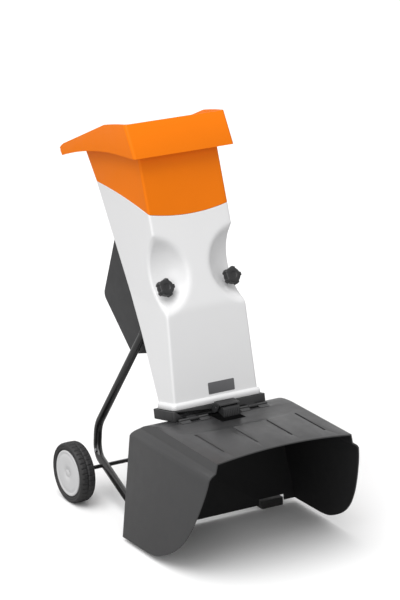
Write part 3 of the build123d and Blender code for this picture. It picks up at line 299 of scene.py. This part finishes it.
# Each finish: colour, roughness and what differs from the plain one
FINISHES = {
    "hopper_white": ((0.75, 0.75, 0.755), 0.34, {
        "coat": 0.12, "coat_rough": 0.2, "drift": 0.006, "rough_drift": 0.012, "bump": 0.04,
    }),
    "funnel_orange": ((0.86, 0.190, 0.0004), 0.45, {
        "specular": 0.14, "drift": 0.012, "rough_drift": 0.03, "bump": 0.1, "wear": 0.15, "wear_lift": 0.3,
    }),
    "guard_rubber": ((0.02, 0.02, 0.02), 0.7, {"bump": 0.3, "speckle": 0.5}),
    "plate_grey": ((0.11, 0.11, 0.115), 0.42, {"drift": 0.03, "grain_scale": 1500.0, "bump": 0.1}),
    "screw_steel": ((0.45, 0.45, 0.46), 0.33, {
        "metallic": 1.0, "stretch": (1, 1, 12), "bump": 0.15, "speckle": 0.2,
    }),
    "screw_zinc": ((0.55, 0.56, 0.58), 0.38, {"metallic": 1.0, "drift": 0.1, "bump": 0.1}),
    "base_plastic": ((0.030, 0.030, 0.031), 0.5, {"pebble": 900.0, "bump": 0.3, "wear": 0.2, "speckle": 0.15}),
    "cover_plastic": ((0.030, 0.030, 0.031), 0.5, {
        "pebble": 700.0, "bump": 0.35, "drift": 0.06, "wear": 0.25, "speckle": 0.2,
    }),
    "motor_aluminium": ((0.6, 0.6, 0.61), 0.42, {"metallic": 1.0, "grain_scale": 500.0, "bump": 0.3}),
    "copper": ((0.72, 0.32, 0.16), 0.3, {"metallic": 1.0, "stretch": (1, 60, 60), "bump": 0.6}),
    "bearing_steel": ((0.58, 0.58, 0.6), 0.18, {"metallic": 1.0, "bump": 0.05}),
    "fan_plastic": ((0.03, 0.03, 0.03), 0.5, {"bump": 0.2}),
    "blade_steel": ((0.5, 0.5, 0.52), 0.24, {"metallic": 1.0, "stretch": (40, 2, 2), "bump": 0.25}),
    "chamber_steel": ((0.4, 0.4, 0.41), 0.42, {"metallic": 1.0, "drift": 0.12, "bump": 0.2}),
    "knob_plastic": ((0.017, 0.017, 0.018), 0.42, {
        "pebble": 1100.0, "bump": 0.25, "wear": 0.35, "wear_lift": 2.5,
    }),
    "neck_plastic": ((0.021, 0.021, 0.022), 0.5, {"pebble": 900.0, "bump": 0.3, "wear": 0.2}),
    "tube_paint": ((0.008, 0.008, 0.0085), 0.24, {
        "coat": 0.5, "coat_rough": 0.1, "grain_scale": 420.0, "bump": 0.12, "rough_drift": 0.07,
        "dust": (0.16, 0.08),
    }),
    "foot_rubber": ((0.014, 0.014, 0.014), 0.68, {"bump": 0.4, "dust": (0.03, 0.06), "speckle": 0.4}),
    "tyre_rubber": ((0.017, 0.017, 0.018), 0.62, {
        "pebble": 1300.0, "bump": 0.35, "dust": (0.19, 0.1), "speckle": 0.35, "wear": 0.2, "wear_lift": 1.5,
    }),
    "hub_plastic": ((0.02, 0.02, 0.021), 0.5, {"pebble": 900.0, "bump": 0.3}),
    "cap_plastic": ((0.58, 0.58, 0.585), 0.36, {
        "coat": 0.15, "drift": 0.02, "bump": 0.1, "dust": (0.16, 0.06),
    }),
    "hood_plastic": ((0.026, 0.026, 0.027), 0.34, {
        "specular": 0.72, "pebble": 620.0, "bump": 0.4, "drift": 0.07, "wear": 0.3, "speckle": 0.25,
        "dust": (0.3, 0.03),
    }),
    # Inside of the discharge hood: coarser and matt, and its base colour is half the outside's as painted shade
    # in the hollow
    "hood_inside_shaded": ((0.013, 0.013, 0.0135), 0.62, {
        "specular": 0.25, "pebble": 420.0, "bump": 0.5, "drift": 0.1, "speckle": 0.2,
    }),
    "switch_plastic": ((0.025, 0.025, 0.026), 0.45, {"pebble": 900.0, "bump": 0.25, "wear": 0.2}),
    "button_green": ((0.02, 0.28, 0.05), 0.32, {"coat": 0.2, "bump": 0.08, "drift": 0.03}),
    "button_red": ((0.55, 0.015, 0.012), 0.32, {"coat": 0.2, "bump": 0.08, "drift": 0.03}),
    "pin_brass": ((0.75, 0.55, 0.24), 0.25, {"metallic": 1.0, "bump": 0.05}),
}
looks = {name: finish_of(name, colour, rough, **options) for name, (colour, rough, options) in FINISHES.items()}
node_slot = {part["node"]: part["material_slot"] for part in frame["record"]["subparts"]}


# --- Mesh helpers ---
def new_piece(name, mesh, slot_name, body, *stands_for):
    """Adds a finished mesh as a piece that moves with a body and stands for CAD nodes."""
    piece = bpy.data.objects.new(name, mesh)
    bpy.context.scene.collection.objects.link(piece)
    mesh.materials.clear()
    mesh.materials.append(looks[slot_name])
    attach(piece, body)
    if stands_for:
        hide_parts(*stands_for)
    return piece


def bevelled(piece, width):
    """Rounds the piece's sharp edges."""
    modifier = piece.modifiers.new("rounded edges", "BEVEL")
    modifier.width = width
    modifier.segments = 3
    modifier.limit_method = "ANGLE"
    modifier.angle_limit = radians(30)
    modifier.harden_normals = True
    modifier.miter_outer = "MITER_ARC"


def walled(piece):
    """Gives a shell the hopper's wall, inwards from its outer face."""
    wall = piece.modifiers.new("wall", "SOLIDIFY")
    wall.thickness = HOPPER_WALL
    wall.offset = -1


def welded_mesh(node):
    """The CAD node's mesh with its seams joined and its flat faces merged."""
    mesh = frame["nodes"][node].data.copy()
    shape = bmesh.new()
    shape.from_mesh(mesh)
    bmesh.ops.remove_doubles(shape, verts=shape.verts, dist=2e-6)
    bmesh.ops.dissolve_limit(shape, angle_limit=radians(0.6), verts=shape.verts, edges=shape.edges)
    for face in shape.faces:
        face.smooth = True
    shape.to_mesh(mesh)
    shape.free()
    return mesh


def softened(node, width):
    """A CAD node's shape again, with its sharp edges rounded."""
    body = frame["nodes"][node]["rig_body"]
    slot_name = node_slot[node]
    piece = new_piece(node + "_skin", welded_mesh(node), slot_name, body, node)
    bevelled(piece, width)
    return piece


def grid_mesh(name, points, closed_u=False, closed_v=False):
    """Quad mesh over an array of points [v][u]."""
    rows, columns = points.shape[:2]
    vertices = points.reshape(-1, 3)
    faces = []
    for j in range(rows if closed_v else rows - 1):
        for i in range(columns if closed_u else columns - 1):
            across, up = (i + 1) % columns, (j + 1) % rows
            faces.append((j * columns + i, j * columns + across, up * columns + across, up * columns + i))
    mesh = bpy.data.meshes.new(name)
    mesh.from_pydata([tuple(v) for v in vertices], [], faces)
    for polygon in mesh.polygons:
        polygon.use_smooth = True
    return mesh


def turned_mesh(name, profile, centre, axis, steps=96, shape=None):
    """A profile of (radius, distance along the axis) points turned round an axis and closed at both ends."""
    turn = Vector((0, 0, 1)).rotation_difference(Vector(axis)).to_matrix()
    points = np.zeros((len(profile), steps, 3))
    for j, (radius, along) in enumerate(profile):
        for i in range(steps):
            angle = 2 * pi * i / steps
            r = radius if shape is None else shape(radius, along, angle)
            points[j, i] = turn @ Vector((r * cos(angle), r * sin(angle), along)) + Vector(centre)
    mesh = grid_mesh(name, points, closed_u=True)
    body = bmesh.new()
    body.from_mesh(mesh)
    bmesh.ops.remove_doubles(body, verts=body.verts, dist=1e-6)
    bmesh.ops.holes_fill(body, edges=[e for e in body.edges if e.is_boundary], sides=0)
    bmesh.ops.recalc_face_normals(body, faces=body.faces)
    for face in body.faces:
        face.smooth = len(face.verts) < 5
    body.to_mesh(mesh)
    body.free()
    return mesh


# --- Hopper shell ---
def front_y(z):
    lean = FRONT_LEAN if z > FRONT_BEND[1] else LOWER_FRONT_LEAN
    return FRONT_BEND[0] + (z - FRONT_BEND[1]) * tan(lean)


def rear_y(z):
    lean = REAR_LEAN if z > REAR_BEND[1] else LOWER_REAR_LEAN
    return REAR_BEND[0] + (z - REAR_BEND[1]) * tan(lean)


def half_width(z):
    """Half the hopper's width, which spreads below the front bend."""
    drop = max(0.0, FRONT_BEND[1] - z)
    return HOPPER_HALF + (FOOT_HALF - HOPPER_HALF) * drop / (FRONT_BEND[1] - FOOT_Z)


def circle_through(first, second, third):
    """Centre and radius of the circle through three points in a plane."""
    (ax, ay), (bx, by), (cx, cy) = first, second, third
    d = 2 * (ax * (by - cy) + bx * (cy - ay) + cx * (ay - by))
    ux = ((ax**2 + ay**2) * (by - cy) + (bx**2 + by**2) * (cy - ay) + (cx**2 + cy**2) * (ay - by)) / d
    uy = ((ax**2 + ay**2) * (cx - bx) + (bx**2 + by**2) * (ax - cx) + (cx**2 + cy**2) * (bx - ax)) / d
    return ux, uy, hypot(ax - ux, ay - uy)


SPLIT_Y, SPLIT_Z, SPLIT_R = circle_through(*SPLIT)


def split_z(x, y):
    """Height of the joint between hopper and funnel: an arc along the side, sagging across the front."""
    arc = SPLIT_Z + (SPLIT_R**2 - (y - SPLIT_Y) ** 2) ** 0.5
    return arc - SPLIT_SAG * (1 - (x / HOPPER_HALF) ** 2)


def seat_z(y):
    """Height of the tilted seat under the hopper."""
    return FLANGE_FRONT[1] - (y - FLANGE_FRONT[0]) * tan(SEAT_TILT)


def shell_section(z, share):
    """Point of the hopper's outer outline at a height; share runs from the left rear edge round the front."""
    front, rear = front_y(z), rear_y(z)
    r = CORNER_RADIUS
    depth = rear - front
    h = half_width(z)
    corner, side = pi / 2 * r, depth - 2 * r
    lengths = [REAR_LIP, corner, side, corner, 2 * (h - r), corner, side, corner, REAR_LIP]
    place = share * sum(lengths)
    for index, length in enumerate(lengths):
        if place <= length or index == len(lengths) - 1:
            break
        place -= length
    t = place / length
    if index == 0:
        return -h + r + REAR_LIP * (1 - t), rear
    if index == 1:
        return -h + r - r * sin(t * pi / 2), rear - r + r * cos(t * pi / 2)
    if index == 2:
        return -h, rear - r - place
    if index == 3:
        return -h + r - r * cos(t * pi / 2), front + r - r * sin(t * pi / 2)
    if index == 4:
        return -h + r + place, front
    if index == 5:
        return h - r + r * sin(t * pi / 2), front + r - r * cos(t * pi / 2)
    if index == 6:
        return h, front + r + place
    if index == 7:
        return h - r + r * cos(t * pi / 2), rear - r + r * sin(t * pi / 2)
    return h - r - REAR_LIP * t, rear


def scooped(point):
    """The point pushed in to the wall of its side's knob hollow, and its nearness to the hollow's rim."""
    side = -1 if point[0] < 0 else 1
    centre = Vector((side * SCOOP_CENTRE[0], SCOOP_CENTRE[1], SCOOP_CENTRE[2]))
    size = Vector((SCOOP_HALF_WIDTH, SCOOP_RADIUS, SCOOP_RADIUS))
    target = centre + Vector((-side * SCOOP_PUSH[0], SCOOP_PUSH[1], SCOOP_PUSH[2]))
    p = Vector(point)
    local = Vector([(p[i] - centre[i]) / size[i] for i in range(3)])
    away = local.length - 1
    on_front = abs(point[0]) < HOPPER_HALF - 0.005
    width = RIM_WIDTH_FRONT if on_front else RIM_WIDTH_SIDE
    nearness = max(0.0, 1 - abs(away) * SCOOP_RADIUS / width)
    if away >= 0:
        return p, nearness
    ray = (target - p).normalized()
    step = Vector([ray[i] / size[i] for i in range(3)])
    a, b, c = step.dot(step), 2 * local.dot(step), local.dot(local) - 1
    travel = (-b + (b * b - 4 * a * c) ** 0.5) / (2 * a)
    return p + ray * travel, nearness


def relax(points, softness):
    """Moves each point towards the middle of its neighbours, by its own softness."""
    for _ in range(SMOOTHING_PASSES):
        mean = points.copy()
        mean[1:-1, 1:-1] = (
            points[:-2, 1:-1] + points[2:, 1:-1] + points[1:-1, :-2] + points[1:-1, 2:]
        ) / 4
        points += (mean - points) * softness[:, :, None] * SMOOTHING_SHARE


def column_ends(share):
    """Heights at which a column of the shell meets the seat and the joint with the funnel."""
    low, high = 0.4, 0.94
    for _ in range(8):
        low = seat_z(shell_section(low, share)[1]) + SEAT_CLEARANCE
        high = split_z(*shell_section(high, share)) - SPLIT_LINE
    return low, high


def hopper_shell():
    """The hopper's white shell: its leaning outline, pushed in at the knob hollows, with soft rims."""
    points = np.zeros((SHELL_ROWS, SHELL_COLUMNS, 3))
    softness = np.zeros((SHELL_ROWS, SHELL_COLUMNS))
    for i in range(SHELL_COLUMNS):
        share = i / (SHELL_COLUMNS - 1)
        low, high = column_ends(share)
        for j in range(SHELL_ROWS):
            z = low + (high - low) * j / (SHELL_ROWS - 1)
            x, y = shell_section(z, share)
            points[j, i], softness[j, i] = scooped((x, y, z))
            bend = max(0.0, 1 - abs(z - FRONT_BEND[1]) / BEND_WIDTH) if y < 0 else 0
            softness[j, i] = max(softness[j, i], bend * BEND_SOFTNESS)
    softness[:2] = 0
    softness[-2:] = 0
    relax(points, softness)
    mesh = grid_mesh("hopper_shell", points)
    piece = new_piece("hopper_shell", mesh, "hopper_white", "hopper", "lower_hopper")
    walled(piece)


def rounded_loop(half_x, half_y, radius, steps=8):
    """Points round a rounded rectangle about its middle."""
    points = []
    for cx, cy, start in ((1, 1, 0), (-1, 1, 90), (-1, -1, 180), (1, -1, 270)):
        for step in range(steps + 1):
            angle = radians(start + 90 * step / steps)
            x = cx * (half_x - radius) + radius * cos(angle)
            y = cy * (half_y - radius) + radius * sin(angle)
            points.append((x, y))
    return points


def hopper_flange():
    """The flange round the hopper's foot, a ring on the tilted seat."""
    across = Vector((1, 0, 0))
    back = Vector((0, cos(SEAT_TILT), -sin(SEAT_TILT)))
    up = Vector((0, sin(SEAT_TILT), cos(SEAT_TILT)))
    origin = Vector((0, *FLANGE_FRONT)) + back * FLANGE_DEPTH / 2
    half_x, half_y = FLANGE_HALF, FLANGE_DEPTH / 2
    points = np.zeros((len(FLANGE_RINGS), 36, 3))
    for j, (inset, height, radius) in enumerate(FLANGE_RINGS):
        for i, (x, y) in enumerate(rounded_loop(half_x - inset, half_y - inset, radius)):
            points[j, i] = origin + across * x + back * y + up * height
    mesh = grid_mesh("hopper_flange", points, closed_u=True, closed_v=True)
    shape = bmesh.new()
    shape.from_mesh(mesh)
    bmesh.ops.recalc_face_normals(shape, faces=shape.faces)
    shape.to_mesh(mesh)
    shape.free()
    new_piece("hopper_flange", mesh, "hopper_white", "hopper")


def hopper_back_strip():
    """The wall that closes the hopper's back above the motor cover."""
    normal = Vector((0, cos(REAR_LEAN), -sin(REAR_LEAN)))
    points = np.zeros((STRIP_ROWS, STRIP_COLUMNS, 3))
    half = HOPPER_HALF - CORNER_RADIUS
    for i in range(STRIP_COLUMNS):
        x = -half + 2 * half * i / (STRIP_COLUMNS - 1)
        high = 0.95
        for _ in range(6):
            high = split_z(x, rear_y(high)) - SPLIT_LINE
        for j in range(STRIP_ROWS):
            z = COVER_TIP_Z + (high - COVER_TIP_Z) * j / (STRIP_ROWS - 1)
            points[j, i] = Vector((x, rear_y(z), z)) - normal * 0.00002
    mesh = grid_mesh("hopper_back_strip", points[:, ::-1])
    piece = new_piece("hopper_back_strip", mesh, "hopper_white", "hopper")
    walled(piece)


def rear_frame(along, out, x):
    """Point at a distance up the leaning rear face and behind it, with the face's normal."""
    normal = Vector((0, cos(REAR_LEAN), -sin(REAR_LEAN)))
    up = Vector((0, sin(REAR_LEAN), cos(REAR_LEAN)))
    return Vector((x, *REAR_BEND)) + up * along + normal * out, normal


def knob_seats():
    """The short bosses that the grips press on."""
    for side, name in ((-1, "left"), (1, "right")):
        centre, normal = rear_frame(KNOB_ALONG, -KNOB_SEAT_OUT, side * KNOB_X)
        mesh = turned_mesh(f"{name}_knob_seat", KNOB_SEAT_OUTLINE, centre, normal, SEAT_STEPS)
        new_piece(f"{name}_knob_seat", mesh, "hopper_white", "hopper")


def star(radius, along, angle):
    """Radius of the grip at an angle: five rounded ridges that grow from its plain middle to its rim."""
    middle, rim = 0.0125, 0.0283
    if radius < middle:
        return radius
    ridge = min(1.0, max(0.0, (cos(5 * angle) - 0.15) / 0.55))
    ridge = ridge * ridge * (3 - 2 * ridge)
    share = (radius - middle) / (rim - middle)
    return middle + share * (0.0114 + 0.0044 * ridge)


def star_knobs():
    """Star grips with a domed top and a recessed middle."""
    for side, name in ((-1, "left"), (1, "right")):
        centre, normal = rear_frame(KNOB_ALONG, -KNOB_OUT, side * KNOB_X)
        mesh = turned_mesh(f"{name}_knob_grip", KNOB_OUTLINE, centre, normal, KNOB_STEPS, star)
        new_piece(f"{name}_knob_grip", mesh, "knob_plastic", f"{name}_clamp", f"{name}_knob")


# --- Wheels ---
def tread(radius, along, angle):
    """Radius of the tyre at an angle: cross grooves, staggered about one groove round the middle."""
    shoulder, half_tread = 0.0885, 0.0185
    if radius < shoulder or abs(along) > half_tread:
        return radius
    phase = (angle * 36 / (2 * pi) + (0.5 if along > 0 else 0.0)) % 1.0
    groove = phase < 0.16 or abs(along) < 0.0012
    return radius - (0.0022 if groove else 0.0)


def wheels():
    for side, name in ((-1, "left"), (1, "right")):
        centre = Vector((side * WHEEL_MIDDLE_X, *WHEEL_CENTRE))
        axis = (side, 0, 0)
        mesh = turned_mesh(f"{name}_tyre_tread", TYRE_OUTLINE, centre, axis, TYRE_STEPS, tread)
        new_piece(f"{name}_tyre_tread", mesh, "tyre_rubber", f"{name}_wheel", f"{name}_tyre")
        mesh = turned_mesh(f"{name}_cap_disc", CAP_OUTLINE, centre, axis, CAP_STEPS)
        new_piece(f"{name}_cap_disc", mesh, "cap_plastic", f"{name}_wheel", f"{name}_hub_cap")


def paint_shade_inside(piece, shaded_finish, middle):
    """The faces that look towards the middle get the coarse, matt inside finish, whose darker colour is painted
    shade inside the hood.
    """
    piece.data.materials.append(shaded_finish)
    for polygon in piece.data.polygons:
        if polygon.normal.dot(polygon.center - Vector(middle)) < 0:
            polygon.material_index = 1


# --- The pieces ---
hopper_shell()
hopper_flange()
hopper_back_strip()
knob_seats()
star_knobs()
wheels()

skins = {node: softened(node, width) for node, width in SOFT_WIDTHS.items()}
# Painted shade: the hood's inward-facing faces get a darker colour than its outside
paint_shade_inside(skins["discharge_hood"], looks["hood_inside_shaded"], HOOD_MIDDLE)
for node, shown in frame["nodes"].items():
    shown.data.materials.clear()
    shown.data.materials.append(looks[node_slot[node]])


# --- Floor, light and camera ---
FLOOR_HALF = 14.0
FLOOR_BOUNCE = (0.42, 0.42, 0.42, 1)  # what the floor throws back on the machine
FLOOR_SEEN = (0.93, 0.93, 0.93, 1)
STAGE_MIDDLE = (0.0, 0.0, 0.55)
SKY_DIRECTION = (0.42, 0.10, -0.90)
CAMERA_AIM = Vector((0.0480, 0.0436, 0.6356))
CAMERA_DISTANCE = 8.5736
CAMERA_AZIMUTH = radians(-31.06)
CAMERA_ELEVATION = radians(18.42)


def in_scene(name, data):
    thing = bpy.data.objects.new(name, data)
    bpy.context.scene.collection.objects.link(thing)
    return thing


def floor():
    mesh = bpy.data.meshes.new("floor")
    corners = [(x * FLOOR_HALF, y * FLOOR_HALF, 0) for x, y in ((-1, -1), (1, -1), (1, 1), (-1, 1))]
    mesh.from_pydata(corners, [], [(0, 1, 2, 3)])
    plane = in_scene("floor", mesh)
    material = bpy.data.materials.new("floor")
    material.use_nodes = True
    nodes, links = material.node_tree.nodes, material.node_tree.links
    shader = nodes["Principled BSDF"]
    path = nodes.new("ShaderNodeLightPath")
    shown = blend_colours(nodes, links, path.outputs["Is Camera Ray"], FLOOR_BOUNCE, FLOOR_SEEN)
    links.new(shown, shader.inputs["Base Color"])
    shader.inputs["Roughness"].default_value = 0.9
    shader.inputs["Specular IOR Level"].default_value = 0.1
    mesh.materials.append(material)


def lights():
    """A wide sky panel from above, one softbox from the front left, and a plain white studio."""
    sky = bpy.data.lights.new("sky panel", "SUN")
    sky.energy = 1.95
    sky.angle = radians(55)
    in_scene("sky panel", sky).rotation_euler = Vector(SKY_DIRECTION).to_track_quat("-Z", "Y").to_euler()

    softbox = bpy.data.lights.new("front softbox", "AREA")
    softbox.shape = "RECTANGLE"
    softbox.size, softbox.size_y = 2.4, 2.4
    softbox.energy = 40
    light = in_scene("front softbox", softbox)
    light.location = (-3.3, -2.7, 2.0)
    light.rotation_euler = (Vector(STAGE_MIDDLE) - light.location).to_track_quat("-Z", "Y").to_euler()

    studio = bpy.data.worlds.new("studio")
    studio.use_nodes = True
    studio.node_tree.nodes["Background"].inputs["Color"].default_value = (1, 1, 1, 1)
    studio.node_tree.nodes["Background"].inputs["Strength"].default_value = 0.72
    bpy.context.scene.world = studio


def camera():
    data = bpy.data.cameras.new("camera")
    data.lens = 175.95
    data.sensor_width = 36.0
    data.clip_end = 60.0
    view = in_scene("camera", data)
    level = cos(CAMERA_ELEVATION) * CAMERA_DISTANCE
    height = sin(CAMERA_ELEVATION) * CAMERA_DISTANCE
    view.location = CAMERA_AIM + Vector((level * sin(CAMERA_AZIMUTH), -level * cos(CAMERA_AZIMUTH), height))
    view.rotation_euler = (pi / 2 - CAMERA_ELEVATION, 0.0, CAMERA_AZIMUTH)
    bpy.context.scene.camera = view


floor()
lights()
camera()
bpy.context.scene.view_settings.view_transform = "Standard"
